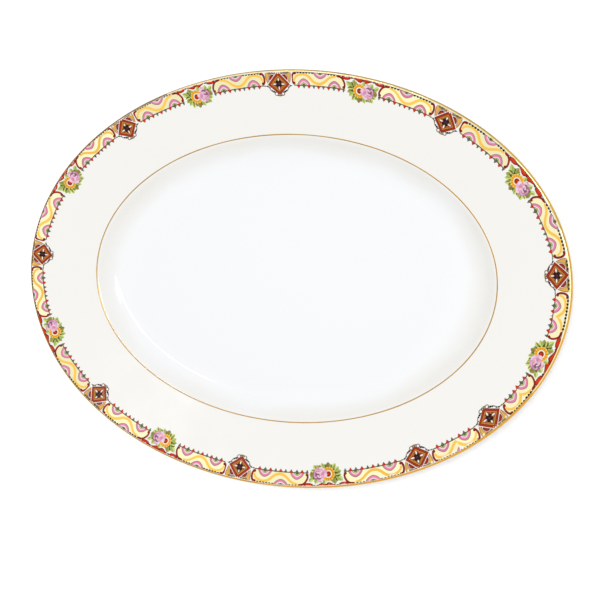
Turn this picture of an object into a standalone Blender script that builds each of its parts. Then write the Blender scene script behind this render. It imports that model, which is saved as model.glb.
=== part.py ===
"""Oval china serving platter: one glazed china body with its gilding and its printed border.

Metres, +Z up. The platter lies on its foot ring on the plane z = 0, centred on the origin, with its
long axis along X. Everything that lies on the china is a thin coat of its own: the gilded lip, the
gilded line at the verge, and the border transfer, which goes on as eight long strips and one short
one that fills what is left of the way round.
"""

import bpy
import bmesh
import numpy as np
from math import atan2, cos, hypot, pi, radians, sin, tau

# Overall size, over the gilded lip
LENGTH = 0.3556
WIDTH = 0.2540
CREST = 0.0315

# Coats: the space kept under each one, and how thick it is
COAT_GAP = 0.00025
COAT = 0.00025

# China body
LIP_RADIUS = 0.0018
VERGE_LONG = 0.1330
VERGE_SHORT = 0.0883
VERGE_HEIGHT = 0.0190
RIM_SAG = 0.06
FLOOR_LONG = 0.1130
FLOOR_SHORT = 0.0682
FLOOR_HEIGHT = 0.0100
WALL = 0.0048
FOOT_WIDTH = 0.0060
FOOT_ROUND = 0.0007
FOOT_TAPER = 0.0006

# Gilding
GILT_FROM = radians(-40)
GILT_TO = radians(69)
VERGE_LINE_WIDTH = 0.0010

# Border transfer, measured inwards from the outer edge
BAND_OUTER = 0.00175
BAND_INNER = 0.0113
DIAMOND_TIP = 0.0171
FLOWER_TIP = 0.0147
DIAMOND_FLANK = 0.85
FLOWER_HALF = 0.48
PITCH_LINE = 0.0058
STRIP_GAP = 0.0003

# The transfer's strips, anticlockwise. Each letter is a motif: D a diamond, P a panel, F a flower
# spray, and p the part of a panel that is left at a cut. The lengths are along the pitch line, in
# millimetres: the strips are laid by hand, so the same motif is never quite the same length.
FIRST_CUT = radians(-48.1)
STRIPS = (
    ("transfer_filler", "pDp", (14.2, 19.9, 13.5)),
    ("transfer_1", "pFp", (12.5, 23.0, 13.3)),
    ("transfer_2", "pDPFP", (14.5, 19.6, 38.3, 21.7, 36.4)),
    ("transfer_3", "DPFP", (17.9, 35.7, 20.4, 34.6)),
    ("transfer_4", "DPFP", (17.4, 35.8, 20.3, 36.0)),
    ("transfer_5", "DPFP", (17.9, 35.7, 20.5, 36.6)),
    ("transfer_6", "DPFP", (17.7, 35.4, 20.5, 36.1)),
    ("transfer_7", "DPFP", (17.2, 36.7, 20.7, 36.3)),
    ("transfer_8", "DPFPDp", (17.7, 37.7, 22.1, 38.8, 18.6, 16.8)),
)

# Fineness
SEGMENTS = 96
LIP_STEPS = 4
RIM_STEPS = 3
CAVETTO_STEPS = 5
STRIP_STEP = 0.0056

BODY_LONG = LENGTH / 2 - COAT_GAP - COAT
BODY_SHORT = WIDTH / 2 - COAT_GAP - COAT


def lerp(start, end, share):
    return start + (end - start) * share


def bezier(points, share):
    """A point on the cubic curve through four control points."""
    rest = 1 - share
    weights = (rest**3, 3 * rest**2 * share, 3 * rest * share**2, share**3)
    return [sum(w * p[axis] for w, p in zip(weights, points)) for axis in range(len(points[0]))]


# ---------------------------------------------------------------- section of the china
# A station of the section is (semi-axis along X, semi-axis along Y, height).


def rim_height_at(share):
    """Height of the rim's upper face, from the start of the rim (0) to the verge (1)."""
    top = CREST - LIP_RADIUS * (1 - cos(RIM_SLOPE))
    return top - (top - VERGE_HEIGHT) * (share + RIM_SAG * share * (1 - share))


def rim_axes_at(share):
    inset = LIP_RADIUS * (1 + sin(RIM_SLOPE))
    return (
        lerp(BODY_LONG - inset, VERGE_LONG, share),
        lerp(BODY_SHORT - inset, VERGE_SHORT, share),
    )


RIM_SLOPE = atan2((CREST - VERGE_HEIGHT) * (1 + RIM_SAG), BODY_LONG - LIP_RADIUS - VERGE_LONG)


def lip_station(angle, out=0.0):
    """A place on the rounded lip, by its angle above the horizontal, or that far outside it."""
    reach = LIP_RADIUS + out
    across = -LIP_RADIUS + reach * cos(angle)
    height = CREST - LIP_RADIUS + reach * sin(angle)
    return BODY_LONG + across, BODY_SHORT + across, height


def rim_station(share):
    return (*rim_axes_at(share), rim_height_at(share))


def cavetto_station(share):
    """The curved wall from the verge down to the well's flat floor."""
    across, down = bezier(((0, 0), (0.13, 0.07), (0.42, 1.0), (1, 1)), share)
    return (
        lerp(VERGE_LONG, FLOOR_LONG, across),
        lerp(VERGE_SHORT, FLOOR_SHORT, across),
        lerp(VERGE_HEIGHT, FLOOR_HEIGHT, down),
    )


def upper_stations():
    """From the lip's crest over the rim and the cavetto to the edge of the well's floor."""
    rim = [rim_station(i / RIM_STEPS) for i in range(RIM_STEPS)]
    cavetto = [cavetto_station(i / CAVETTO_STEPS) for i in range(CAVETTO_STEPS + 1)]
    return rim + cavetto


def under_stations(upper):
    """The upper face offset by the wall's thickness, which grows from the lip to the verge."""
    under = []
    for i, (along, across, height) in enumerate(upper):
        before = upper[max(i - 1, 0)]
        after = upper[min(i + 1, len(upper) - 1)]
        slope = atan2(before[2] - after[2], before[0] - after[0])
        thickness = lerp(2 * LIP_RADIUS, WALL, min(i / RIM_STEPS, 1))
        out = thickness * sin(slope)
        under.append((along + out, across + out, height - thickness * cos(slope)))
    under[-1] = (FLOOR_LONG, FLOOR_SHORT, FLOOR_HEIGHT - WALL)
    return under


def foot_stations():
    """The foot ring, from its outer wall under the cavetto to its inner wall."""
    top = FLOOR_HEIGHT - WALL
    outer = (FLOOR_LONG - FOOT_TAPER, FLOOR_SHORT - FOOT_TAPER)
    shape = (
        (0, FOOT_ROUND),
        (FOOT_ROUND, 0),
        (FOOT_WIDTH - FOOT_ROUND, 0),
        (FOOT_WIDTH, FOOT_ROUND),
        (FOOT_WIDTH + FOOT_TAPER, top - FOOT_ROUND),
        (FOOT_WIDTH + FOOT_TAPER + FOOT_ROUND, top),
    )
    return [(outer[0] - inset, outer[1] - inset, height) for inset, height in shape]


# ---------------------------------------------------------------- mesh helpers


def ring(station):
    along, across, height = station
    angles = [tau * i / SEGMENTS for i in range(SEGMENTS)]
    return [(along * cos(a), across * sin(a), height) for a in angles]


def loft(name, loops, wrap=False):
    """Skins a row of closed loops. It is capped at both ends, or joined end to end."""
    mesh = bpy.data.meshes.new(name)
    bm = bmesh.new()
    rows = [[bm.verts.new(point) for point in loop] for loop in loops]
    pairs = list(zip(rows, rows[1:]))
    if wrap:
        pairs.append((rows[-1], rows[0]))
    else:
        bm.faces.new(rows[0])
        bm.faces.new(rows[-1])
    count = len(rows[0])
    for one, other in pairs:
        for i in range(count):
            j = (i + 1) % count
            bm.faces.new((one[i], one[j], other[j], other[i]))
    bmesh.ops.recalc_face_normals(bm, faces=bm.faces)
    bm.to_mesh(mesh)
    bm.free()
    mesh.shade_smooth()
    mesh.set_sharp_from_angle(angle=radians(40))
    return bpy.data.objects.new(name, mesh)


def add(collection, piece, material):
    piece.data.materials.append(material)
    collection.objects.link(piece)


def finish(name, colour, roughness, metallic=0.0):
    material = bpy.data.materials.new(name)
    material.use_nodes = True
    shader = material.node_tree.nodes["Principled BSDF"]
    shader.inputs["Base Color"].default_value = (*colour, 1)
    shader.inputs["Roughness"].default_value = roughness
    shader.inputs["Metallic"].default_value = metallic
    return material


# ---------------------------------------------------------------- sub-parts


def make_body():
    """The fired china: rim, cavetto, flat well and foot ring in one piece."""
    lip_top = pi / 2 + RIM_SLOPE
    lip_bottom = -pi / 2
    lip = [lip_station(lerp(lip_bottom, lip_top, i / LIP_STEPS)) for i in range(LIP_STEPS)]
    upper = upper_stations()
    under = under_stations(upper)
    stations = upper[::-1] + lip[::-1] + under[1:] + foot_stations()
    return loft("platter_body", [ring(s) for s in stations])


def make_gilt_edge():
    """A skin of gold round the lip, from just inside its crest to below its outermost line."""
    angles = [lerp(GILT_FROM, GILT_TO, i / LIP_STEPS) for i in range(LIP_STEPS + 1)]
    inside = [lip_station(a, COAT_GAP) for a in angles]
    outside = [lip_station(a, COAT_GAP + COAT) for a in reversed(angles)]
    return loft("gilt_edge", [ring(s) for s in inside + outside], wrap=True)


def make_gilt_verge_line():
    """A thin gold line on the rim where it turns down into the cavetto."""
    rim_width = BODY_LONG - VERGE_LONG
    shares = (1 - VERGE_LINE_WIDTH / rim_width, 1)
    stations = []
    for share, lift in zip(shares + shares[::-1], (COAT_GAP, COAT_GAP, 2 * COAT_GAP, 2 * COAT_GAP)):
        along, across, height = rim_station(share)
        stations.append((along, across, height + lift))
    return loft("gilt_verge_line", [ring(s) for s in stations], wrap=True)


# ---------------------------------------------------------------- the border on the rim


def pitch_table():
    """Distance round the border's pitch line for each angle, for looking angles up by distance."""
    angles = np.linspace(0, tau, 7201)
    along = (LENGTH / 2 - PITCH_LINE) * np.cos(angles)
    across = (WIDTH / 2 - PITCH_LINE) * np.sin(angles)
    steps = np.hypot(np.diff(along), np.diff(across))
    return angles, np.concatenate(([0], np.cumsum(steps)))


ANGLES, DISTANCES = pitch_table()
PERIMETER = DISTANCES[-1]


def distance_at(angle):
    return float(np.interp(angle % tau, ANGLES, DISTANCES))


def angle_at(distance):
    return float(np.interp(distance % PERIMETER, DISTANCES, ANGLES))


def china_height_over(x, y):
    """Height of the china's upper face at a place, found by halving between the lip and the verge."""
    low, high = -0.1, 1.0
    for _ in range(40):
        middle = (low + high) / 2
        along, across = rim_axes_at(middle)
        if hypot(x / along, y / across) < 1:
            low = middle
        else:
            high = middle
    if low >= 0:
        return rim_height_at(low)
    out = -low * (rim_axes_at(0)[0] - VERGE_LONG)
    from_crest = out - LIP_RADIUS * sin(RIM_SLOPE)
    return CREST - LIP_RADIUS + (LIP_RADIUS**2 - from_crest**2) ** 0.5


def on_rim(distance, inset, lift):
    """The place this far round the border and this far in from the edge, above the china."""
    angle = angle_at(distance)
    x = LENGTH / 2 * cos(angle)
    y = WIDTH / 2 * sin(angle)
    out_x = WIDTH * cos(angle)
    out_y = LENGTH * sin(angle)
    size = hypot(out_x, out_y)
    x -= inset * out_x / size
    y -= inset * out_y / size
    return x, y, china_height_over(x, y) + lift


def inner_edge(zones, along):
    """How far in the print reaches, by the place along a strip: it has a lobe at some motifs."""
    reach = BAND_INNER
    start = 0
    for motif, length in zones:
        off = abs(along - start - length / 2)
        if motif == "D":
            reach = max(reach, DIAMOND_TIP - DIAMOND_FLANK * off)
        if motif == "F":
            share = min(off / (FLOWER_HALF * length), 1)
            reach = max(reach, BAND_INNER + (FLOWER_TIP - BAND_INNER) * (1 - share**2) ** 0.5)
        start += length
    return reach


def make_transfer(name, start, zones):
    """One strip of the printed border: a thin solid with the outline of its print."""
    length = sum(size for motif, size in zones) - STRIP_GAP
    count = round(length / STRIP_STEP)
    loops = []
    for i in range(count + 1):
        along = STRIP_GAP / 2 + length * i / count
        inner = inner_edge(zones, along)
        insets = (BAND_OUTER, BAND_OUTER + LIP_RADIUS / 2, lerp(BAND_OUTER, inner, 0.5), inner)
        low = [on_rim(start + along, inset, COAT_GAP) for inset in insets]
        high = [on_rim(start + along, inset, COAT_GAP + COAT) for inset in insets]
        loops.append(low + high[::-1])
    return loft(name, loops)


def make_transfers():
    """All the strips, end to end, their lengths shared out so that they close exactly."""
    start = distance_at(FIRST_CUT)
    unit = PERIMETER / sum(sum(lengths) for name, motifs, lengths in STRIPS)
    pieces = []
    for name, motifs, lengths in STRIPS:
        zones = [(motif, length * unit) for motif, length in zip(motifs, lengths)]
        pieces.append(make_transfer(name, start, zones))
        start += unit * sum(lengths)
    return pieces


def main():
    for old in list(bpy.data.objects):
        bpy.data.objects.remove(old)
    platter = bpy.data.collections.new("china_serving_platter")
    bpy.context.scene.collection.children.link(platter)
    add(platter, make_body(), finish("glazed_china", (0.93, 0.93, 0.90), 0.12))
    add(platter, make_gilt_edge(), finish("lip_gold", (0.83, 0.60, 0.22), 0.25, 1.0))
    add(platter, make_gilt_verge_line(), finish("line_gold", (0.78, 0.58, 0.26), 0.30, 1.0))
    for piece in make_transfers():
        add(platter, piece, finish(f"{piece.name}_enamel", (0.80, 0.55, 0.30), 0.20))


main()
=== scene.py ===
"""The look of an oval china serving platter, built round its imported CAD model.

Metres, +Z up, the platter lying on its foot ring. The china body is a fine loft over the same section
as the CAD body. The gilding is a thin coat on it, with an edge that wanders as a brush leaves it. Each
strip of the border transfer is drawn as flat shapes in millimetres, (along the strip, in from its
outer line), cut into one layer of enamel, and laid over the rim.
"""

import random
from math import atan2, cos, degrees, hypot, pi, radians, sin, tau

import bmesh
import bpy
import numpy as np
from mathutils import Matrix, Vector
from mathutils.geometry import delaunay_2d_cdt
from mathutils.noise import noise


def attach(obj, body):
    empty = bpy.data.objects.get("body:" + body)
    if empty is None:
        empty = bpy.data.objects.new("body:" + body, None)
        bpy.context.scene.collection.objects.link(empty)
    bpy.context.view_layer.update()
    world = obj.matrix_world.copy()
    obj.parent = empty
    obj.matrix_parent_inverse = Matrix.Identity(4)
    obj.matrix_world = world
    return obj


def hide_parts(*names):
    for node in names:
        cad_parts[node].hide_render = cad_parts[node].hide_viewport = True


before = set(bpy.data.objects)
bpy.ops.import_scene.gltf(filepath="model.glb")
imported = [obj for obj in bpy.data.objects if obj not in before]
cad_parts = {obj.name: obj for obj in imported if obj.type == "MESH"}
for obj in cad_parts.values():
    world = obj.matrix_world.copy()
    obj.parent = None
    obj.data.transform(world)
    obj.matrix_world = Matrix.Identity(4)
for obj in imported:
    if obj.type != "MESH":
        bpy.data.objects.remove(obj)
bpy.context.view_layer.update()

MM = 0.001

# ---------------------------------------------------------------- section of the china, as in the CAD
LENGTH = 0.3556
WIDTH = 0.2540
CREST = 0.0315
COAT = 0.0005
LIP_RADIUS = 0.0018
VERGE_LONG = 0.1330
VERGE_SHORT = 0.0883
VERGE_HEIGHT = 0.0190
RIM_SAG = 0.06
FLOOR_LONG = 0.1130
FLOOR_SHORT = 0.0682
FLOOR_HEIGHT = 0.0100
WALL = 0.0048
FOOT_WIDTH = 0.0060
FOOT_ROUND = 0.0007
FOOT_TAPER = 0.0006
BARE_HEIGHT = 0.0002  # the glaze is wiped off the foot up to here, so it doesn't stick in the kiln

BODY_LONG = LENGTH / 2 - COAT
BODY_SHORT = WIDTH / 2 - COAT

# Fineness of the visual body
SEGMENTS = 480
LIP_STEPS = 14
RIM_STEPS = 22
CAVETTO_STEPS = 30
FLAT_SHARES = (0.05, 0.2, 0.4, 0.6, 0.8, 0.92)  # rings on the flats, as shares of their edge

# ---------------------------------------------------------------- the border's strips
PITCH_LINE = 0.0058
FIRST_CUT = radians(-48.1)
STRIP_GAP = 0.12
STRIPS = (
    ("transfer_filler", "pDp", (14.2, 19.9, 13.5)),
    ("transfer_1", "pFp", (12.5, 23.0, 13.3)),
    ("transfer_2", "pDPFP", (14.5, 19.6, 38.3, 21.7, 36.4)),
    ("transfer_3", "DPFP", (17.9, 35.7, 20.4, 34.6)),
    ("transfer_4", "DPFP", (17.4, 35.8, 20.3, 36.0)),
    ("transfer_5", "DPFP", (17.9, 35.7, 20.5, 36.6)),
    ("transfer_6", "DPFP", (17.7, 35.4, 20.5, 36.1)),
    ("transfer_7", "DPFP", (17.2, 36.7, 20.7, 36.3)),
    ("transfer_8", "DPFPDp", (17.7, 37.7, 22.1, 38.8, 18.6, 16.8)),
)

# How far in from the edge each strip's outer line was laid, in millimetres, at its start and its end
LAID = {
    "transfer_filler": (1.35, 1.6),
    "transfer_1": (1.85, 2.15),
    "transfer_2": (2.25, 2.15),
    "transfer_3": (2.1, 2.1),
    "transfer_4": (2.1, 1.8),
    "transfer_5": (1.6, 1.5),
    "transfer_6": (1.6, 2.1),
    "transfer_7": (2.2, 2.0),
    "transfer_8": (2.0, 1.4),
}

# The drawing's own sizes, in millimetres
PANEL = 36.0
DIAMOND = 17.7
FLOWER = 20.4
INNER_LINE = 7.35
CUT_FROM = -1.0
CUT_TO = 16.0
GRID = 1.5
GRID_ROWS = 10
GRID_FIRST = 0.37
GRID_MARGIN = 0.6
EDGE_STEP = 1.2
ENAMEL_LIFT = 0.05
ENAMEL_SINK = 0.03

# The border's enamels, each as it looks in the studio's light
ENAMELS = {
    "cream": "FAF1C2",
    "ribbon": "FAC756",
    "maroon": "862C14",
    "vermilion": "CC3A12",
    "brick": "A03A18",
    "ochre": "E0AE54",
    "umber": "985E2C",
    "pink": "E884AC",
    "pink_light": "F0B0C8",
    "lilac_grey": "968282",
    "white": "F6F4EE",
    "black": "2C2616",
    "slate": "626854",
    "leaf": "C6DA7C",
    "leaf_mid": "A0B05C",
    "leaf_dark": "686A34",
    "olive": "96924C",
    "brown": "987A3E",
    "bark": "54401C",
    "rose": "E4B0C8",
    "rose_light": "EECADC",
    "rose_deep": "D88EB2",
    "rose_shade": "A07488",
    "rose_dark": "704A56",
    "marigold": "F1AC28",
    "marigold_shade": "CE8416",
    "marigold_light": "F9D47E",
    "aubergine": "34181A",
    "violet": "54323E",
    "tan": "C4883A",
}
SHADES = (1.0, 0.93, 1.07)  # a printed enamel is never quite even: its plain, thick and thin places
STUDIO_LIGHT = 1.22  # how bright the light makes a plain white
GLAZE_GLARE = 0.014  # what the enamel's gloss adds to its colour
DARKEST = 0.0008


def lerp(start, end, share):
    return start + (end - start) * share


def bezier(points, share):
    """A point on the cubic curve through four control points."""
    rest = 1 - share
    weights = (rest**3, 3 * rest**2 * share, 3 * rest * share**2, share**3)
    return [sum(w * p[axis] for w, p in zip(weights, points)) for axis in range(len(points[0]))]


# ---------------------------------------------------------------- stations: (long half, short half, height)

RIM_SLOPE = atan2((CREST - VERGE_HEIGHT) * (1 + RIM_SAG), BODY_LONG - LIP_RADIUS - VERGE_LONG)


def rim_height_at(share):
    """Height of the rim's upper face, from the start of the rim (0) to the verge (1)."""
    top = CREST - LIP_RADIUS * (1 - cos(RIM_SLOPE))
    return top - (top - VERGE_HEIGHT) * (share + RIM_SAG * share * (1 - share))


def rim_axes_at(share):
    inset = LIP_RADIUS * (1 + sin(RIM_SLOPE))
    return lerp(BODY_LONG - inset, VERGE_LONG, share), lerp(BODY_SHORT - inset, VERGE_SHORT, share)


def lip_station(angle, out=0.0):
    """A place on the rounded lip, by its angle above the horizontal, or that far outside it."""
    reach = LIP_RADIUS + out
    across = -LIP_RADIUS + reach * cos(angle)
    return BODY_LONG + across, BODY_SHORT + across, CREST - LIP_RADIUS + reach * sin(angle)


def rim_station(share):
    return (*rim_axes_at(share), rim_height_at(share))


def cavetto_station(share):
    """The curved wall from the verge down to the well's flat floor."""
    across, down = bezier(((0, 0), (0.13, 0.07), (0.42, 1.0), (1, 1)), share)
    return (
        lerp(VERGE_LONG, FLOOR_LONG, across),
        lerp(VERGE_SHORT, FLOOR_SHORT, across),
        lerp(VERGE_HEIGHT, FLOOR_HEIGHT, down),
    )


def upper_stations():
    rim = [rim_station(i / RIM_STEPS) for i in range(RIM_STEPS)]
    return rim + [cavetto_station(i / CAVETTO_STEPS) for i in range(CAVETTO_STEPS + 1)]


def under_stations(upper):
    """The upper face offset by the wall's thickness, which grows from the lip to the verge."""
    under = []
    for i, (along, across, height) in enumerate(upper):
        before = upper[max(i - 1, 0)]
        after = upper[min(i + 1, len(upper) - 1)]
        slope = atan2(before[2] - after[2], before[0] - after[0])
        thickness = lerp(2 * LIP_RADIUS, WALL, min(i / RIM_STEPS, 1))
        out = thickness * sin(slope)
        under.append((along + out, across + out, height - thickness * cos(slope)))
    under[-1] = (FLOOR_LONG, FLOOR_SHORT, FLOOR_HEIGHT - WALL)
    return under


def rounded(corner, radius, start, end, steps=5):
    """Stations round a corner of the foot ring: (inset, height) from one angle to another."""
    angles = [lerp(start, end, i / steps) for i in range(steps + 1)]
    return [(corner[0] + radius * cos(a), corner[1] + radius * sin(a)) for a in angles]


def foot_stations():
    """The foot ring, from its outer wall under the cavetto to its inner wall."""
    top = FLOOR_HEIGHT - WALL
    inner = FOOT_WIDTH + FOOT_TAPER
    shape = [(-0.0002, top - 0.0007), (0, top * 0.5)]
    shape += rounded((FOOT_ROUND, FOOT_ROUND), FOOT_ROUND, pi, 3 * pi / 2)
    shape += rounded((FOOT_WIDTH - FOOT_ROUND, FOOT_ROUND), FOOT_ROUND, -pi / 2, 0)
    shape += [(FOOT_WIDTH + FOOT_TAPER / 2, top * 0.5)]
    shape += rounded((inner + FOOT_ROUND, top - FOOT_ROUND), FOOT_ROUND, pi, pi / 2)
    outer = (FLOOR_LONG - FOOT_TAPER, FLOOR_SHORT - FOOT_TAPER)
    return [(outer[0] - inset, outer[1] - inset, height) for inset, height in shape]


# ---------------------------------------------------------------- mesh helpers


def ring(station, count=SEGMENTS):
    along, across, height = station
    return [(along * cos(tau * i / count), across * sin(tau * i / count), height) for i in range(count)]


def new_piece(name, bm, materials, crease=40):
    mesh = bpy.data.meshes.new(name)
    bm.to_mesh(mesh)
    bm.free()
    mesh.shade_smooth()
    mesh.set_sharp_from_angle(angle=radians(crease))
    piece = bpy.data.objects.new(name, mesh)
    for material in materials:
        mesh.materials.append(material)
    bpy.context.scene.collection.objects.link(piece)
    return piece


def loft(bm, loops, material_of=None, wrap=False):
    """Skins a row of closed loops with quads, each row in the material it asks for."""
    rows = [[bm.verts.new(point) for point in loop] for loop in loops]
    pairs = list(zip(rows, rows[1:]))
    if wrap:
        pairs.append((rows[-1], rows[0]))
    for row, (one, other) in enumerate(pairs):
        for i in range(len(one)):
            j = (i + 1) % len(one)
            face = bm.faces.new((one[i], one[j], other[j], other[i]))
            face.material_index = int(material_of(row)) if material_of else 0
    return rows


# ---------------------------------------------------------------- materials


def linear(hex_colour):
    """A display colour such as F0A020 as the linear colour that a shader takes."""
    channels = [int(hex_colour[i : i + 2], 16) / 255 for i in (0, 2, 4)]
    return tuple(c / 12.92 if c <= 0.04045 else ((c + 0.055) / 1.055) ** 2.4 for c in channels)


class Finish:
    """A Principled material with helpers for the nodes that vary it over the surface."""

    def __init__(self, name, colour, roughness, metallic=0.0):
        self.material = bpy.data.materials.new(name)
        self.material.use_nodes = True
        self.tree = self.material.node_tree
        self.shader = self.tree.nodes["Principled BSDF"]
        self.shader.inputs["Base Color"].default_value = (*colour, 1)
        self.shader.inputs["Roughness"].default_value = roughness
        self.shader.inputs["Metallic"].default_value = metallic
        self.place = self.tree.nodes.new("ShaderNodeTexCoord").outputs["Object"]

    def noise(self, scale, detail=3.0, roughness=0.5, stretch=None):
        """Noise over the object, so many times to the metre."""
        texture = self.tree.nodes.new("ShaderNodeTexNoise")
        texture.inputs["Scale"].default_value = scale
        texture.inputs["Detail"].default_value = detail
        texture.inputs["Roughness"].default_value = roughness
        place = self.place
        if stretch:
            mapping = self.tree.nodes.new("ShaderNodeMapping")
            mapping.inputs["Scale"].default_value = stretch
            self.tree.links.new(place, mapping.inputs["Vector"])
            place = mapping.outputs["Vector"]
        self.tree.links.new(place, texture.inputs["Vector"])
        return texture.outputs["Fac"]

    def spread(self, value, low, high, start=0.3, end=0.7):
        """Maps a value from start..end to low..high."""
        ranged = self.tree.nodes.new("ShaderNodeMapRange")
        for name, number in (("From Min", start), ("From Max", end), ("To Min", low), ("To Max", high)):
            ranged.inputs[name].default_value = number
        self.tree.links.new(value, ranged.inputs["Value"])
        return ranged.outputs["Result"]

    def oval_distance(self, long, short):
        """How far out a place is, as a share of an oval with these semi-axes."""
        mapping = self.tree.nodes.new("ShaderNodeMapping")
        mapping.inputs["Scale"].default_value = (1 / long, 1 / short, 0)
        length = self.tree.nodes.new("ShaderNodeVectorMath")
        length.operation = "LENGTH"
        self.tree.links.new(self.place, mapping.inputs["Vector"])
        self.tree.links.new(mapping.outputs["Vector"], length.inputs[0])
        return length.outputs["Value"]

    def sum(self, one, other):
        node = self.tree.nodes.new("ShaderNodeMath")
        self.tree.links.new(one, node.inputs[0])
        self.tree.links.new(other, node.inputs[1])
        return node.outputs["Value"]

    def vary_roughness(self, value, low, high):
        self.tree.links.new(self.spread(value, low, high), self.shader.inputs["Roughness"])

    def vary_colour(self, value, colours, start=0.3, end=0.7):
        """The base colour, blended through these colours as the value goes from start to end."""
        ramp = self.tree.nodes.new("ShaderNodeValToRGB")
        elements = ramp.color_ramp.elements
        while len(elements) < len(colours):
            elements.new(0.5)
        for i, colour in enumerate(colours):
            elements[i].position = lerp(start, end, i / (len(colours) - 1))
            elements[i].color = (*colour, 1)
        self.tree.links.new(value, ramp.inputs["Fac"])
        self.tree.links.new(ramp.outputs["Color"], self.shader.inputs["Base Color"])

    def bump(self, value, strength, distance):
        node = self.tree.nodes.new("ShaderNodeBump")
        node.inputs["Strength"].default_value = strength
        node.inputs["Distance"].default_value = distance
        self.tree.links.new(value, node.inputs["Height"])
        self.tree.links.new(node.outputs["Normal"], self.shader.inputs["Normal"])


# The china's tints from the well to the lip, and where the first and the last are reached, as shares
# of the verge's oval: it is 1 at the verge
# The lighter fourth tint, near 0.88 in the cavetto, is painted light that offsets the cavetto's shade
CHINA_TINTS_AND_PAINTED_LIGHT = ("E0E1E2", "E0E1E2", "DFE1E2", "E2E3E4", "DEDDD9", "DDDCD8", "DEDDD9")
TINTED = (0.55, 1.21)


def glazed_china():
    """White china under a clear glaze: ivory on the rim, a cooler white in the well, faintly clouded, and a
    lighter band in the cavetto that is painted light against the cavetto's shade.
    """
    finish = Finish("glazed_china", linear("DDDDD8"), 0.09)
    clouds = finish.spread(finish.noise(14), -0.05, 0.05)
    place = finish.sum(finish.oval_distance(VERGE_LONG, VERGE_SHORT), clouds)
    finish.vary_colour(place, [linear(tint) for tint in CHINA_TINTS_AND_PAINTED_LIGHT], *TINTED)
    finish.vary_roughness(finish.noise(60, detail=5), 0.06, 0.13)
    finish.bump(finish.noise(220, detail=2), 0.04, 0.0004)
    finish.shader.inputs["IOR"].default_value = 1.5
    finish.shader.inputs["Coat Weight"].default_value = 0.3
    finish.shader.inputs["Coat Roughness"].default_value = 0.04
    return finish.material


def bare_china():
    """The unglazed bottom of the foot ring: matt, biscuit-coloured and a little sandy."""
    finish = Finish("bare_china", linear("E2DCCB"), 0.75)
    finish.vary_colour(
        finish.noise(300, detail=6, roughness=0.7), (linear("CFC6B0"), linear("E3DDCC"), linear("ECE8DC"))
    )
    finish.bump(finish.noise(1800, detail=4), 0.35, 0.0002)
    return finish.material


def gold(name, colour, roughness, brushing):
    """Burnished gold, in some places a little rougher than in others."""
    finish = Finish(name, linear(colour), roughness, metallic=1.0)
    finish.vary_roughness(finish.noise(brushing, detail=5, roughness=0.6), roughness - 0.05, roughness + 0.08)
    finish.bump(finish.noise(brushing * 4, detail=3), 0.05, 0.0001)
    return finish.material


def enamel_colour(look, shade):
    """The colour an enamel needs to look like this, lit by the studio and with the gloss's glare on it."""
    return [max(DARKEST, (channel - GLAZE_GLARE) / STUDIO_LIGHT * shade) for channel in linear(look)]


def enamel_materials():
    """One material for each shade of each enamel, and where each enamel's shades start."""
    materials = []
    first = {}
    for name, look in ENAMELS.items():
        first[name] = len(materials)
        for i, shade in enumerate(SHADES):
            finish = Finish(f"enamel_{name}_{i + 1}", enamel_colour(look, shade), 0.2)
            finish.shader.inputs["Specular IOR Level"].default_value = 0.18
            finish.vary_roughness(finish.noise(900, detail=4), 0.14, 0.30)
            finish.bump(finish.noise(2600, detail=3), 0.10, 0.00006)
            materials.append(finish.material)
    return materials, first


# ---------------------------------------------------------------- china and gilding


def make_body():
    """The fired china: rim, cavetto, flat well and foot ring in one piece."""
    lip_top = pi / 2 + RIM_SLOPE
    lip = [lip_station(lerp(-pi / 2, lip_top, i / LIP_STEPS)) for i in range(LIP_STEPS)]
    upper = upper_stations()
    under = under_stations(upper)
    well = [(FLOOR_LONG * share, FLOOR_SHORT * share, FLOOR_HEIGHT) for share in FLAT_SHARES]
    feet = foot_stations()
    along, across, height = feet[-1]
    recess = [(along * share, across * share, height) for share in reversed(FLAT_SHARES)]
    stations = well + upper[::-1] + lip[::-1] + under[1:] + feet + recess

    def unglazed(row):
        return max(stations[row][2], stations[row + 1][2]) < BARE_HEIGHT

    bm = bmesh.new()
    rows = loft(bm, [ring(s) for s in stations], unglazed)
    bm.faces.new(rows[0])
    bm.faces.new(rows[-1])
    bmesh.ops.recalc_face_normals(bm, faces=bm.faces)
    return new_piece("china_platter", bm, [glazed_china(), bare_china()])


def wander(angle, size, seed):
    """How far a hand-brushed edge strays at this angle round the platter, at most about size."""
    x, y = cos(angle) * LENGTH / 2, sin(angle) * WIDTH / 2
    slow = noise(Vector((x * 25, y * 25, seed)))
    quick = noise(Vector((x * 120, y * 120, seed + 5)))
    return size * (0.7 * slow + 0.3 * quick)


GILT_FROM = radians(-40)
GILT_TO = radians(66)
GILT_ROWS = 12
GILT_COAT = 0.00035
GILT_WANDER = radians(6)
VERGE_LINE_WIDTH = 0.00085
LINE_WANDER = 0.00022
LINE_COAT = 0.00006
LINE_CLEAR = 0.00002


# The lip's golds from dull to bright, and last the pale one on top of the lip. The run from dull to bright is
# painted shade and light, set by the angle round the lip, and the pale gold is a painted highlight.
LIT_AND_SHADED_LIP_GOLDS = ("80602E", "8C6A34", "9C7A3A", "AC8A40", "B8943E", "C2983E", "CC9C3E", "D8A442", "F2E0A0")
PAINTED_HIGHLIGHT = len(LIT_AND_SHADED_LIP_GOLDS) - 1
BRIGHTEST_LIT = PAINTED_HIGHLIGHT - 1
HIGHLIGHT_SIDE = radians(45)
LIT_SIDE = radians(-50)


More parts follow.
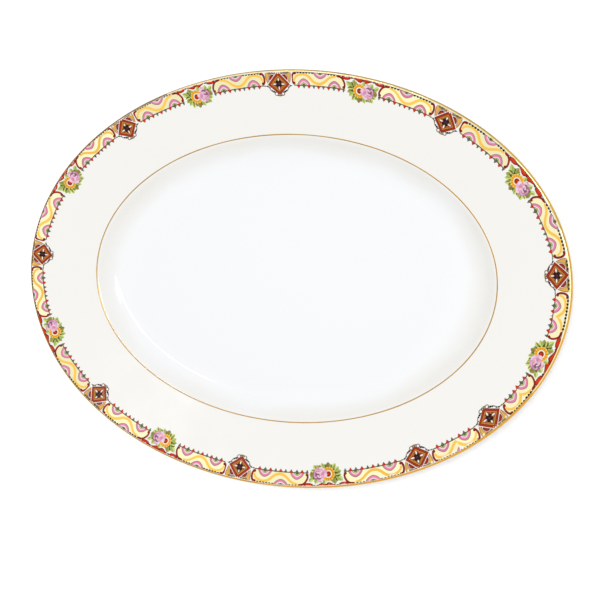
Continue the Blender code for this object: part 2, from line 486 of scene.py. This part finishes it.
def painted_light_at(place, normal):
    """Which gold a place on the lip has: the pale one, a painted highlight, on top on one side of the
    platter; else by the angle, darker on one side and brighter on the other, as painted shade and light.
    """
    angle = atan2(place.y / WIDTH, place.x / LENGTH)
    if normal.z > 0.8 and cos(angle - HIGHLIGHT_SIDE) + wander(angle, 0.2, 37) > 0.3:
        return PAINTED_HIGHLIGHT
    lit_share = 0.6 + 0.5 * cos(angle - LIT_SIDE) + wander(angle, 0.25, 31)
    return max(0, min(BRIGHTEST_LIT, round(lit_share * BRIGHTEST_LIT)))


def make_gilt_edge():
    """Gold round the lip. Its inner and outer edges wander a little, as the gilder's brush did."""
    bm = bmesh.new()
    loops = []
    for row in range(GILT_ROWS + 1):
        share = row / GILT_ROWS
        thin = 0.35 + 0.65 * sin(pi * share) ** 0.5 if 0 < share < 1 else 0.0
        loop = []
        for i in range(SEGMENTS):
            angle = tau * i / SEGMENTS
            start = GILT_FROM + wander(angle, GILT_WANDER, 3)
            end = GILT_TO + wander(angle, GILT_WANDER, 8)
            along, across, height = lip_station(lerp(start, end, share), GILT_COAT * thin)
            loop.append((along * cos(angle), across * sin(angle), height))
        loops.append(loop)
    loft(bm, loops)
    bmesh.ops.recalc_face_normals(bm, faces=bm.faces)
    # Each face takes its gold by where it faces: painted shade, painted light or the pale painted highlight
    for face in bm.faces:
        face.material_index = painted_light_at(face.calc_center_median(), face.normal)
    golds = [gold(f"lip_gold_painted_light_{i + 1}", colour, 0.24, 500) for i, colour in enumerate(LIT_AND_SHADED_LIP_GOLDS)]
    return new_piece("gold_lip", bm, golds)


def make_gilt_verge_line():
    """The thin gold line on the rim where it turns down into the cavetto."""
    rim_width = BODY_LONG - VERGE_LONG
    profile = ((0, 0.0), (0.12, 0.8), (0.5, 1.0), (0.88, 0.8), (1, 0.0))
    loops = []
    for share, thick in profile:
        loop = []
        for i in range(SEGMENTS):
            angle = tau * i / SEGMENTS
            middle = VERGE_LINE_WIDTH / 2 + wander(angle, LINE_WANDER / 2, 21)
            width = VERGE_LINE_WIDTH * 0.9 + wander(angle, LINE_WANDER, 14)
            place = 1 - (middle + width * (0.5 - share)) / rim_width
            along, across, height = rim_station(min(place, 1))
            loop.append((along * cos(angle), across * sin(angle), height + LINE_CLEAR + LINE_COAT * thick))
        loops.append(loop)
    bm = bmesh.new()
    loft(bm, loops)
    bmesh.ops.recalc_face_normals(bm, faces=bm.faces)
    return new_piece("gold_verge_line", bm, [gold("line_gold", "B8904A", 0.30, 700)])


# ---------------------------------------------------------------- places on the rim, for many points at once


def pitch_table():
    """Distance round the border's pitch line for each angle, for looking angles up by distance."""
    angles = np.linspace(0, tau, 7201)
    along = (LENGTH / 2 - PITCH_LINE) * np.cos(angles)
    across = (WIDTH / 2 - PITCH_LINE) * np.sin(angles)
    return angles, np.concatenate(([0], np.cumsum(np.hypot(np.diff(along), np.diff(across)))))


ANGLES, DISTANCES = pitch_table()
PERIMETER = float(DISTANCES[-1])


def china_height_over(x, y):
    """Height of the china's upper face, found by halving between the lip and the verge."""
    low = np.full(len(x), -0.1)
    high = np.ones(len(x))
    for _ in range(36):
        middle = (low + high) / 2
        along, across = rim_axes_at(middle)
        inside = np.hypot(x / along, y / across) < 1
        low = np.where(inside, middle, low)
        high = np.where(inside, high, middle)
    out = np.clip(-low, 0, None) * (rim_axes_at(0)[0] - VERGE_LONG)
    from_crest = np.clip(out - LIP_RADIUS * sin(RIM_SLOPE), -LIP_RADIUS, LIP_RADIUS)
    on_lip = CREST - LIP_RADIUS + np.sqrt(LIP_RADIUS**2 - from_crest**2)
    return np.where(low >= 0, rim_height_at(np.clip(low, 0, 1)), on_lip)


def on_rim(distance, inset):
    """Places on the china this far round the border and this far in from the platter's edge."""
    angle = np.interp(distance % PERIMETER, DISTANCES, ANGLES)
    x = LENGTH / 2 * np.cos(angle)
    y = WIDTH / 2 * np.sin(angle)
    out_x = WIDTH * np.cos(angle)
    out_y = LENGTH * np.sin(angle)
    size = np.hypot(out_x, out_y)
    x = x - inset * out_x / size
    y = y - inset * out_y / size
    return np.stack((x, y, china_height_over(x, y)), axis=1)


# ---------------------------------------------------------------- drawing


def smooth_curve(points, step=0.45, closed=False):
    """A soft curve through the points, with places about every step along it."""
    points = [Vector(p) for p in points]
    count = len(points)
    spans = count if closed else count - 1
    curve = []
    for i in range(spans):
        ids = range(i - 1, i + 3)
        near = [points[j % count if closed else min(max(j, 0), count - 1)] for j in ids]
        steps = max(2, round((near[2] - near[1]).length / step))
        for k in range(steps):
            t = k / steps
            curve.append(
                0.5
                * (
                    2 * near[1]
                    + (near[2] - near[0]) * t
                    + (2 * near[0] - 5 * near[1] + 4 * near[2] - near[3]) * t**2
                    + (3 * near[1] - near[0] - 3 * near[2] + near[3]) * t**3
                )
            )
    if not closed:
        curve.append(points[-1])
    return curve


def signed_area(points):
    return sum(a[0] * b[1] - b[0] * a[1] for a, b in zip(points, points[1:] + points[:1])) / 2


class Pen:
    """Draws on a strip: u runs along it from the pen's origin, v runs in from the strip's outer line."""

    def __init__(self, shapes, origin, scale=1.0, flip=False):
        self.shapes = shapes
        self.origin = origin
        self.run = -scale if flip else scale

    def fill(self, enamel, points):
        placed = [(self.origin + self.run * p[0], p[1]) for p in points]
        if signed_area(placed) < 0:
            placed.reverse()
        self.shapes.append((enamel, placed))

    def blob(self, enamel, points):
        """A filled shape with a soft outline through the points."""
        self.fill(enamel, smooth_curve(points, closed=True))

    def oval(self, enamel, u, v, long, short=None, turn=0.0, count=None):
        short = long if short is None else short
        count = count or max(8, round(9 * max(long, short) ** 0.5))
        angles = [tau * i / count for i in range(count)]
        c, s = cos(radians(turn)), sin(radians(turn))
        self.fill(
            enamel,
            [
                (u + long * cos(a) * c - short * sin(a) * s, v + long * cos(a) * s + short * sin(a) * c)
                for a in angles
            ],
        )

    def stroke(self, enamel, points, width, soft=True, taper=0.0):
        """A line of this width. Its ends narrow by the share taper."""
        line = smooth_curve(points) if soft else [Vector(p) for p in points]
        sides = ([], [])
        for i, point in enumerate(line):
            along = (line[min(i + 1, len(line) - 1)] - line[max(i - 1, 0)]).normalized()
            share = i / (len(line) - 1)
            half = width / 2 * (1 - taper * abs(2 * share - 1) ** 2)
            across = Vector((-along.y, along.x)) * half
            sides[0].append(point + across)
            sides[1].append(point - across)
        self.fill(enamel, sides[0] + sides[1][::-1])

    def leaf(self, u, v, length, width, turn, enamel="leaf", shade="leaf_mid", vein="leaf_dark"):
        """A pointed leaf about a centre, its tip towards turn, one half shaded, with a vein."""
        c, s = cos(radians(turn)), sin(radians(turn))

        def at(along, across):
            return (u + along * c - across * s, v + along * s + across * c)

        half = length / 2
        edge = [
            (-half, 0), (-half * 0.55, width * 0.36), (0, width / 2), (half * 0.5, width * 0.36), (half, 0),
        ]
        upper = smooth_curve([at(*p) for p in edge])
        lower = smooth_curve([at(x, -y) for x, y in edge])
        self.fill(enamel, upper + lower[-2:0:-1])
        middle = smooth_curve([at(-half * 0.9, 0), at(0, -width * 0.06), at(half * 0.8, 0)])
        self.fill(shade, smooth_curve([at(x * 0.9, -y * 0.95) for x, y in edge])[1:-1] + middle[::-1])
        self.stroke(vein, [at(-half * 0.95, 0), at(0, -width * 0.04), at(half * 0.45, 0)], 0.16, taper=0.6)


def draw_arch(pen, u, base, half, height, inward):
    """A rainbow arch standing on the inner line, or hanging from the outer one."""
    way = 1 if inward else -1
    slimness = 1.25

    def arc(inset, count=18):
        angles = [pi * i / count for i in range(count + 1)]
        across = [abs(cos(a)) ** slimness * (1 if cos(a) > 0 else -1) for a in angles]
        return [
            (u + (half - inset) * x, base + way * (height - inset) * sin(a) ** slimness)
            for x, a in zip(across, angles)
        ]

    pen.fill("lilac_grey", arc(0))
    pen.fill("pink", arc(0.5))
    pen.fill("pink_light", arc(1.5))
    pen.fill("white", arc(1.8))
    pen.fill("lilac_grey", arc(2.2))
    pen.fill("leaf", arc(2.6))
    pen.oval("leaf_dark", u, base + way * 0.3, 1.0, 0.75)


def draw_panel(pen):
    """A cream panel between two brackets: u = 0 is its end at a diamond, u = PANEL at a flower."""
    diamond_end = [(1.5, 0.3), (0.6, 1.7), (0.25, 3.5), (0.5, 5.2), (1.3, 6.5)]
    flower_end = [(30.6, 0.25), (33.0, 1.2), (34.5, 3.0), (35.2, 5.0), (34.9, 6.9)]
    field = smooth_curve(flower_end) + [(34.6, INNER_LINE), (1.9, INNER_LINE)]
    field += smooth_curve(diamond_end)[::-1]
    pen.fill("cream", field)
    draw_arch(pen, 8.0, INNER_LINE, 4.4, 4.0, inward=False)
    draw_arch(pen, 28.5, INNER_LINE, 4.4, 4.0, inward=False)
    draw_arch(pen, 18.8, -0.3, 4.6, 3.6, inward=True)
    ribbon = [
        (1.5, 4.8), (2.5, 2.8), (4.6, 1.5), (7.4, 1.0), (9.9, 1.5), (11.8, 2.7), (13.5, 4.3), (15.4, 5.55),
        (18.2, 6.1), (20.4, 5.5), (22.4, 4.2), (24.4, 2.5), (26.5, 1.4), (29.2, 0.85),
    ]
    pen.stroke("marigold_light", ribbon, 1.7, taper=0.3)
    pen.stroke("ribbon", ribbon, 1.25, taper=0.3)
    pen.stroke("bark", [(1.6, -0.12), (34.0, -0.12)], 0.3, soft=False)
    pen.stroke("slate", [(1.4, INNER_LINE + 0.05), (35.0, INNER_LINE + 0.05)], 0.6, soft=False)
    pen.stroke("bark", [(1.4, INNER_LINE - 0.05), (35.0, INNER_LINE - 0.05)], 0.22, soft=False)
    for u in (4.2, 6.1, 8.0, 9.9, 11.8, 13.7, 24.2, 26.1, 28.0):
        pen.oval("black", u, 0.05, 0.74, 0.62)
    for u in (8.0, 14.7, 21.1, 28.2, 34.7):
        size = 1.05 if u in (8.0, 28.2) else 0.85
        pen.oval("slate", u, INNER_LINE + 0.35, size, 0.8)
        pen.oval("slate", u, INNER_LINE + 1.2, 0.42, 0.55)
    for u in (4.4, 11.4, 17.9, 24.6, 31.5):
        pen.fill("brick", [(u - 1.5, INNER_LINE - 0.1), (u + 1.5, INNER_LINE - 0.1), (u, INNER_LINE + 1.9)])
        heart = [(-1.0, 0.2), (1.0, 0.2), (0, 1.5)]
        pen.fill("vermilion", [(u + du, INNER_LINE + dv) for du, dv in heart])
    pen.stroke("maroon", diamond_end + [(2.0, 6.1)], 1.3, taper=0.1)
    pen.oval("maroon", 2.1, 0.5, 1.25, 0.75, 5)
    pen.oval("maroon", 1.5, 6.1, 0.95, 0.85)
    pen.stroke("maroon", flower_end, 1.2, taper=0.1)
    pen.oval("maroon", 31.0, 0.5, 1.7, 0.7, 5)
    pen.oval("maroon", 34.6, 6.3, 0.85, 0.85)
    pen.stroke("brick", flower_end[1:4], 0.6, taper=0.8)
    pen.stroke("brick", diamond_end[1:4], 0.6, taper=0.8)


def draw_diamond(pen):
    """A red diamond hung from the outer line, with ochre spandrels and a little lace below it."""
    for side in (-1, 1):
        corner = [
            (0.9, -0.35), (8.3, -0.35), (8.3, 2.6), (8.0, 4.8),
            (7.3, 6.2), (6.6, 6.4), (6.3, 5.0), (3.2, 2.4),
        ]
        pen.fill("ochre", [(side * u, v) for u, v in corner])
        pen.fill("brown", [(side * 0.6, -0.4), (side * 7.0, -0.4), (side * 6.4, 0.9), (side * 1.6, 1.0)])
        pen.stroke("umber", [(side * 8.2, 0.2), (side * 8.15, 2.6), (side * 7.3, 6.1)], 0.35)
        ear = [(1.9, 1.5), (2.6, 0.8), (4.3, 0.7), (5.9, 1.7), (6.65, 3.5), (6.6, 5.5), (5.6, 5.2)]
        pen.blob("lilac_grey", [(side * u, v) for u, v in ear])
        ear = [(2.3, 1.8), (2.9, 1.1), (4.3, 1.0), (5.7, 2.0), (6.3, 3.6), (6.1, 4.7), (5.5, 4.6)]
        pen.blob("white", [(side * u, v) for u, v in ear])
        ear = [(2.6, 1.9), (3.1, 1.3), (4.5, 1.25), (5.7, 2.3), (6.1, 3.8), (5.5, 4.5)]
        pen.blob("maroon", [(side * u, v) for u, v in ear])
        ear = [(3.5, 2.4), (3.9, 1.9), (4.8, 2.1), (5.3, 3.0), (5.2, 3.6)]
        pen.blob("brick", [(side * u, v) for u, v in ear])
        thread = [(7.5, 7.8), (6.6, 8.7), (5.5, 10.3), (4.0, 11.1)]
        pen.stroke("lilac_grey", [(side * u, v) for u, v in thread], 0.62)
        pen.stroke("slate", [(side * 10.2, 7.55), (side * 7.4, 7.75)], 0.42, soft=False)
        pen.oval("slate", side * 9.3, 7.6, 0.34, 0.45)
        pen.oval("black", side * 7.5, 7.8, 0.6, 0.55)
        pen.oval("slate", side * 6.3, 8.6, 0.5, 0.45)
        pen.oval("black", side * 4.9, 10.5, 0.6, 0.5)
        pen.oval("black", side * 3.8, 11.1, 0.75, 0.6)
        pen.oval("lilac_grey", side * 2.2, 12.3, 1.4, 1.3, count=14)
        pen.oval("white", side * 2.2, 12.35, 0.72, 0.66, count=12)
        pen.oval("slate", side * 3.0, 11.5, 0.65, 0.5)
        pen.oval("slate", side * 1.1, 13.2, 0.6, 0.5)
    for u in (-6.8, -4.8, -2.8, 2.8, 4.8, 6.8):
        pen.oval("black", u, -0.1, 0.7, 0.5)
    pen.fill("white", [(0, -0.9), (7.95, 6.9), (7.2, 7.6), (0, 1.0), (-7.2, 7.6), (-7.95, 6.9)])
    pen.fill("maroon", [(0, -0.55), (7.4, 6.9), (0, 13.1), (-7.4, 6.9)])
    pen.fill("brick", [(0, -0.15), (6.95, 6.9), (0, 12.65), (-6.95, 6.9)])
    pen.fill("maroon", [(0, 1.35), (5.7, 6.9), (0, 11.5), (-5.7, 6.9)])
    pen.fill("tan", [(0, 1.7), (5.35, 6.85), (0, 11.15), (-5.35, 6.85)])
    pen.fill("umber", [(0, 2.4), (4.65, 6.85), (0, 10.55), (-4.65, 6.85)])
    pen.fill("brick", [(3.9, 7.2), (0, 10.3), (-3.9, 7.2)])
    middle = 6.5
    for turn in (45, 135, 225, 315):
        u, v = cos(radians(turn)), sin(radians(turn))
        pen.oval("ochre", 2.5 * u, middle + 2.5 * v, 0.6, 0.28, turn + 90)
    for u, v, long, turn in ((2.8, 6.7, 1.2, 0), (0, 9.1, 1.15, 90), (-2.8, 6.8, 1.2, 0), (0, 4.1, 0.9, 90)):
        pen.oval("lilac_grey", u, v, long, 0.55, turn)
        pen.oval("white", u, v, long - 0.12, 0.38, turn)
    for turn in (45, 135, 225, 315):
        u, v = cos(radians(turn)), sin(radians(turn))
        pen.oval("aubergine", 1.3 * u, middle + 1.3 * v, 1.25, 1.0, turn)
    pen.oval("aubergine", 0, middle, 1.3)
    pen.oval("violet", -0.1, middle, 0.7)
    pen.oval("slate", 0, 13.5, 0.8, 0.55)
    pen.oval("leaf", 0, 13.8, 0.42, 0.36)


def draw_swags(pen):
    """The red swags that hang from the outer line over a flower spray."""
    pen.stroke("maroon", [(-12.8, 0.0), (12.6, 0.0)], 0.9, soft=False)
    pen.oval("maroon", 0, 0.3, 1.2, 0.9)
    for side in (-1, 1):
        hang = [(7.0, -0.4), (4.2, 1.0), (2.2, 1.9), (0.8, 1.75), (0.0, -0.4)]
        pen.blob("maroon", [(side * u, v) for u, v in hang])
        hang = [(5.2, -0.1), (3.2, 0.9), (2.0, 1.4), (1.1, 1.1), (1.0, -0.1)]
        pen.blob("vermilion", [(side * u, v) for u, v in hang])
        pen.oval("maroon", side * 10.4, 0.5, 2.9, 1.25)
        pen.oval("vermilion", side * 10.4, 0.5, 2.2, 0.85)
        pen.oval("black", side * 6.85, 0.3, 0.5, 0.46)


def draw_rose(pen, u, v):
    """A lilac-pink rose in three-quarter view, its petals overlapping towards the heart."""
    petals = (
        ("rose_shade", -0.9, 0.3, 3.5, 3.7, 0),
        ("rose_deep", -1.7, 2.9, 1.8, 1.2, 20),
        ("rose_light", 0.8, 3.3, 1.7, 1.1, -25),
        ("rose", -2.5, 2.1, 1.5, 0.9, 40),
        ("rose", 2.5, 0.9, 1.8, 1.4, 60),
        ("rose_deep", -2.6, 0.0, 1.3, 2.0, 0),
        ("rose", -2.9, -0.6, 0.8, 1.2, 10),
        ("rose", -0.2, -2.7, 1.6, 1.4, 0),
        ("rose_light", 0.9, -2.4, 1.1, 1.4, 20),
        ("rose_light", 2.9, -0.4, 1.4, 1.1, 40),
        ("rose", 0.0, 0.0, 2.5, 2.4, 0),
        ("rose_light", -0.4, 1.5, 2.2, 1.1, 5),
        ("rose_deep", 1.3, 0.7, 1.1, 0.9, 50),
        ("rose", -0.5, 2.1, 1.2, 0.55, 10),
        ("rose_shade", -0.9, -1.7, 1.2, 0.8, -35),
        ("rose_shade", -2.5, 0.0, 0.9, 1.2, -10),
        ("rose_light", -0.7, -0.8, 1.3, 0.75, -30),
        ("rose_deep", -1.1, 0.4, 0.9, 0.5, -20),
    )
    for enamel, du, dv, long, short, turn in petals:
        pen.oval(enamel, u + du, v + dv, long, short, turn)
    strokes = (
        ("rose_dark", [(-2.9, -0.6), (-2.0, 0.3), (-0.9, -0.1), (-0.4, -1.0)], 0.6),
        ("rose_dark", [(-2.1, -1.5), (-1.2, -2.4), (0.0, -2.4), (0.7, -1.7)], 0.45),
        ("rose_shade", [(-3.2, 0.6), (-2.8, 1.6), (-1.6, 2.0), (-0.4, 1.6)], 0.4),
        ("rose_deep", [(-1.3, 2.6), (0.0, 3.1), (1.2, 2.5), (1.9, 1.4)], 0.4),
        ("rose_deep", [(0.6, 0.8), (1.6, 0.3), (2.0, -0.8)], 0.5),
    )
    for enamel, points, width in strokes:
        pen.stroke(enamel, [(u + du, v + dv) for du, dv in points], width, taper=0.6)


def draw_daisy(pen, u, v):
    """A marigold-yellow daisy: a scalloped ring round a white eye with a red centre."""
    petals = 14
    for i in range(petals):
        turn = tau * i / petals
        pen.oval("marigold_light", u + 3.15 * cos(turn), v + 3.15 * sin(turn), 0.95, 0.75, degrees(turn))
    pen.oval("marigold", u, v, 3.6, count=28)
    for i in range(petals):
        turn = tau * (i + 0.5) / petals
        pen.oval("marigold_shade", u + 2.9 * cos(turn), v + 2.9 * sin(turn), 0.6, 0.17, degrees(turn))
    pen.oval("marigold_shade", u, v, 2.45, count=24)
    pen.oval("marigold_light", u, v, 2.3, count=24)
    pen.oval("white", u, v, 2.1, count=24)
    pen.oval("tan", u, v, 1.65, count=18)
    pen.oval("maroon", u, v, 1.4, count=18)
    pen.oval("vermilion", u, v, 0.7, count=14)


def draw_flower(pen):
    """A spray of a rose and a daisy among leaves, under its swags. u grows towards the daisy."""
    draw_swags(pen)
    leaf = pen.leaf
    shadow = [
        (-7.6, 4.2), (-5.6, 2.9), (-2.0, 2.6), (1.2, 2.6), (4.6, 3.0), (6.8, 4.4), (7.0, 6.4),
        (6.2, 9.0), (4.4, 10.8), (1.2, 11.6), (-2.4, 11.2), (-5.6, 10.6), (-7.4, 9.0), (-8.0, 6.4),
    ]
    pen.blob("leaf_mid", shadow)
    for u, v, size in ((-7.0, 5.6, 1.0), (5.6, 4.6, 1.0), (5.9, 6.9, 1.1), (-6.2, 9.4, 0.9), (4.6, 9.4, 0.9)):
        pen.oval("bark", u, v, size, size * 0.9)
    for u, v in ((-3.8, 10.5), (0.0, 10.8), (2.6, 10.6), (3.6, 3.4), (-4.0, 2.9)):
        pen.oval("leaf_dark", u, v, 0.9, 0.8)
    leaf(-8.9, 3.5, 3.6, 2.4, 215, vein="olive")
    leaf(-8.1, 4.9, 2.4, 1.5, 130, "leaf", "leaf_mid")
    leaf(-5.7, 2.7, 3.2, 2.8, 250)
    leaf(-7.3, 4.3, 2.2, 1.6, 200, "leaf_mid", "olive")
    leaf(-0.8, 2.3, 2.9, 2.2, 275)
    leaf(-2.9, 2.7, 1.8, 1.4, 250, "leaf_mid", "leaf_dark")
    leaf(4.1, 3.0, 2.6, 1.7, 250, "olive", "leaf_mid", "bark")
    leaf(5.3, 2.6, 3.8, 2.7, 275, "leaf_mid", "olive", "brown")
    leaf(6.6, 3.5, 2.6, 1.6, 300, "olive", "bark", "bark")
    leaf(8.0, 4.1, 5.6, 2.9, 322)
    leaf(7.2, 5.9, 4.2, 2.2, 5, "leaf", "leaf_dark")
    leaf(7.3, 7.7, 3.8, 2.5, 15, "leaf_mid", "olive", "bark")
    leaf(5.7, 6.9, 2.8, 1.4, 20, "bark", "leaf_dark")
    leaf(6.4, 9.4, 3.6, 2.3, 40)
    leaf(4.5, 11.0, 4.0, 2.5, 50, "leaf", "olive")
    leaf(2.8, 11.0, 2.6, 1.8, 80, "leaf_mid", "leaf_dark")
    leaf(1.1, 11.8, 3.4, 2.8, 88, "brown", "olive", "bark")
    leaf(-0.7, 11.2, 2.6, 1.9, 110, "leaf_mid", "leaf_dark")
    leaf(-2.4, 11.5, 3.4, 2.3, 105)
    leaf(-4.0, 10.9, 2.4, 1.6, 120, "leaf_mid", "leaf_dark")
    leaf(-5.3, 10.7, 3.4, 2.1, 135, "leaf", "leaf_mid")
    leaf(-6.9, 10.5, 3.4, 2.2, 120, "leaf", "olive", "brown")
    leaf(-8.0, 8.6, 2.8, 1.9, 160, "leaf", "olive")
    leaf(-8.8, 6.7, 3.2, 2.2, 100, "olive", "brown", "bark")
    leaf(-8.3, 5.2, 2.6, 1.6, 170, "leaf_mid", "olive", "bark")
    for v in (4.7, 5.9, 7.1):
        pen.oval("bark", -7.15, v, 0.65, 0.75)
        pen.oval("olive", -7.8, v + 0.5, 0.55, 0.45)
    draw_daisy(pen, 1.38, 6.65)
    draw_rose(pen, -3.4, 6.35)


# ---------------------------------------------------------------- strips


def strip_shapes(motifs, lengths):
    """All the shapes of one strip, in millimetres from its start."""
    shapes = []
    start = 0.0
    for i, (motif, length) in enumerate(zip(motifs, lengths)):
        before = motifs[i - 1] if i else ""
        after = motifs[i + 1] if i + 1 < len(motifs) else ""
        if motif == "D":
            draw_diamond(Pen(shapes, start + length / 2, length / DIAMOND))
        if motif == "F":
            draw_flower(Pen(shapes, start + length / 2, length / FLOWER))
        if motif == "P":
            flipped = before == "F"
            draw_panel(Pen(shapes, start + length if flipped else start, length / PANEL, flipped))
        if motif == "p":
            flipped = after == "D" or before == "F"
            at_flower = "F" in (before, after)
            origin = start if before else start + length
            if at_flower:
                origin += PANEL if before else -PANEL
            draw_panel(Pen(shapes, origin, 1.0, flipped))
        start += length
    return shapes


def densified(points, step=EDGE_STEP):
    dense = []
    for a, b in zip(points, points[1:] + points[:1]):
        pieces = max(1, round(hypot(b[0] - a[0], b[1] - a[1]) / step))
        dense += [(lerp(a[0], b[0], k / pieces), lerp(a[1], b[1], k / pieces)) for k in range(pieces)]
    return dense


def cut_into_layer(shapes, start, end):
    """Cuts overlapping shapes into triangles: (points, triangles, the shape on top of each)."""
    points = []
    faces = []
    for enamel, outline in shapes:
        outline = densified(outline)
        faces.append(list(range(len(points), len(points) + len(outline))))
        points += outline
    cuts = []
    for cut in (start, end):
        cuts.append((len(points), len(points) + 1))
        points += [(cut, CUT_FROM), (cut, CUT_TO)]
    for row in range(GRID_ROWS):
        shift = GRID / 2 * (row % 2)
        across = np.arange(start + GRID_MARGIN, end - GRID_MARGIN, GRID)
        points += [(u + shift, GRID * row + GRID_FIRST) for u in across]
    result = delaunay_2d_cdt([Vector(p) for p in points], cuts, faces, 1, 1e-5, True)
    verts, triangles, sources = result[0], result[2], result[5]
    kept = []
    tops = []
    for triangle, source in zip(triangles, sources):
        if not source:
            continue
        middle = sum(verts[k][0] for k in triangle) / 3
        if start < middle < end:
            kept.append(triangle)
            tops.append(max(source))
    return verts, kept, tops


def make_strip(name, first, motifs, lengths, laid, materials, first_shade, seed):
    """One strip of the transfer, drawn, cut into a layer and laid on the rim."""
    shapes = strip_shapes(motifs, lengths)
    start, end = STRIP_GAP / 2, sum(lengths) - STRIP_GAP / 2
    verts, triangles, tops = cut_into_layer(shapes, start, end)
    draw = random.Random(seed)
    shades = [first_shade[enamel] + draw.choice((0, 0, 1, 2)) for enamel, outline in shapes]
    used = sorted({k for triangle in triangles for k in triangle})
    new_index = {k: i for i, k in enumerate(used)}
    u = np.array([verts[k][0] for k in used])
    v = np.array([verts[k][1] for k in used])
    distance = first + u * MM
    inset = (lerp(*laid, u / end) + v) * MM
    ground = on_rim(distance, inset)
    along = on_rim(distance + MM, inset) - ground
    inward = on_rim(distance, inset + MM) - ground
    normal = np.cross(inward, along)
    normal /= np.linalg.norm(normal, axis=1)[:, None]
    normal *= np.sign(normal[:, 2])[:, None]
    bm = bmesh.new()
    tops_of = [bm.verts.new(p) for p in ground + normal * ENAMEL_LIFT * MM]
    for triangle, top in zip(triangles, tops):
        face = bm.faces.new([tops_of[new_index[k]] for k in triangle])
        face.material_index = shades[top]
    bmesh.ops.recalc_face_normals(bm, faces=bm.faces)
    if sum(face.normal.z for face in bm.faces) < 0:
        bmesh.ops.reverse_faces(bm, faces=bm.faces)
    rim_edges = [edge for edge in bm.edges if len(edge.link_faces) == 1]
    skirt = bmesh.ops.extrude_edge_only(bm, edges=rim_edges)["geom"]
    for item in skirt:
        if isinstance(item, bmesh.types.BMVert):
            item.co.z -= (ENAMEL_LIFT + ENAMEL_SINK) * MM
    piece = new_piece(name, bm, materials, crease=50)
    drop_unused_materials(piece)
    return piece


def drop_unused_materials(piece):
    """Keeps only the materials that the piece's faces use."""
    mesh = piece.data
    index = np.empty(len(mesh.polygons), np.int32)
    mesh.polygons.foreach_get("material_index", index)
    used = sorted(set(index.tolist()))
    kept = [mesh.materials[i] for i in used]
    mesh.materials.clear()
    for material in kept:
        mesh.materials.append(material)
    mesh.polygons.foreach_set("material_index", np.searchsorted(used, index).astype(np.int32))


def make_strips():
    materials, first_shade = enamel_materials()
    first = float(np.interp(FIRST_CUT % tau, ANGLES, DISTANCES))
    unit = PERIMETER / MM / sum(sum(lengths) for name, motifs, lengths in STRIPS)
    pieces = []
    for number, (name, motifs, lengths) in enumerate(STRIPS):
        lengths = [length * unit for length in lengths]
        piece_name = name.replace("transfer", "border")
        piece = make_strip(
            piece_name, first, motifs, lengths, LAID[name], materials, first_shade, number
        )
        pieces.append((piece, name))
        first += sum(lengths) * MM
    return pieces


# ---------------------------------------------------------------- floor, light and camera

YAW = radians(23.25)
PITCH = radians(3.13)
ROLL = radians(1.07)
EYE_DISTANCE = 0.720
FOCAL = 71.16
SENSOR = 36.0
SHIFT_X = 0.0420
SHIFT_Y = -0.0338

STUDIO_STRENGTH = 0.975
KEY_ASIDE = 0.125  # how far the key light stands up and left of the camera, against its distance
STRIP_LIGHT_FROM = (0, 0.2, 0.97)
STRIP_LIGHT_ALONG = (-0.66, 0.37, 0)

TOWARDS_EYE = Vector((sin(YAW) * cos(PITCH), sin(PITCH), cos(YAW) * cos(PITCH)))


def view_axes():
    """The camera's right, up and backward directions."""
    right = Vector((cos(YAW), 0, -sin(YAW)))
    up = TOWARDS_EYE.cross(right)
    return right * cos(ROLL) + up * sin(ROLL), up * cos(ROLL) - right * sin(ROLL), TOWARDS_EYE


def make_camera():
    right, up, back = view_axes()
    data = bpy.data.cameras.new("camera")
    data.lens = FOCAL
    data.sensor_width = SENSOR
    data.shift_x = SHIFT_X
    data.shift_y = SHIFT_Y
    data.clip_start = 0.05
    data.clip_end = 20
    camera = bpy.data.objects.new("camera", data)
    camera.matrix_world = Matrix.Translation(Vector((0, 0, CREST)) + back * EYE_DISTANCE) @ Matrix(
        (right, up, back)
    ).transposed().to_4x4()
    bpy.context.scene.collection.objects.link(camera)
    bpy.context.scene.camera = camera


def area_light(name, direction, distance, size, radiance, along=None):
    """A soft white light that far off in a direction from the platter, facing it.

    Its size is (length, width), with the length laid along a direction.
    """
    data = bpy.data.lights.new(name, "AREA")
    data.shape = "RECTANGLE"
    data.size, data.size_y = size
    data.energy = radiance * pi * size[0] * size[1]
    light = bpy.data.objects.new(name, data)
    back = Vector(direction).normalized()
    across = Vector(along or (1, 0, 0))
    across = (across - back * across.dot(back)).normalized()
    light.matrix_world = Matrix.Translation(back * distance) @ Matrix(
        (across, back.cross(across), back)
    ).transposed().to_4x4()
    bpy.context.scene.collection.objects.link(light)
    return light


def make_floor():
    bm = bmesh.new()
    bmesh.ops.create_grid(bm, x_segments=1, y_segments=1, size=3)
    finish = Finish("pale_floor", (1.0, 1.0, 1.0), 0.9)
    finish.shader.inputs["Specular IOR Level"].default_value = 0.1
    floor = new_piece("floor", bm, [finish.material])
    floor.location.z = -0.0003


def make_light():
    right, up, back = view_axes()
    world = bpy.data.worlds.new("studio")
    world.use_nodes = True
    world.node_tree.nodes["Background"].inputs["Color"].default_value = (1, 1, 1, 1)
    world.node_tree.nodes["Background"].inputs["Strength"].default_value = STUDIO_STRENGTH
    bpy.context.scene.world = world
    area_light("key_light", back + (up - right) * KEY_ASIDE, 1.6, (0.15, 0.15), 66)
    area_light("strip_light", STRIP_LIGHT_FROM, 1.2, (0.9, 0.03), 24, along=STRIP_LIGHT_ALONG)
    bpy.context.scene.view_settings.view_transform = "Standard"


def main():
    make_camera()
    body = make_body()
    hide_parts("platter_body")
    lip = make_gilt_edge()
    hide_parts("gilt_edge")
    line = make_gilt_verge_line()
    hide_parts("gilt_verge_line")
    for piece in (body, lip, line):
        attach(piece, "root")
    for piece, node in make_strips():
        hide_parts(node)
        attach(piece, "root")
    make_floor()
    make_light()


main()
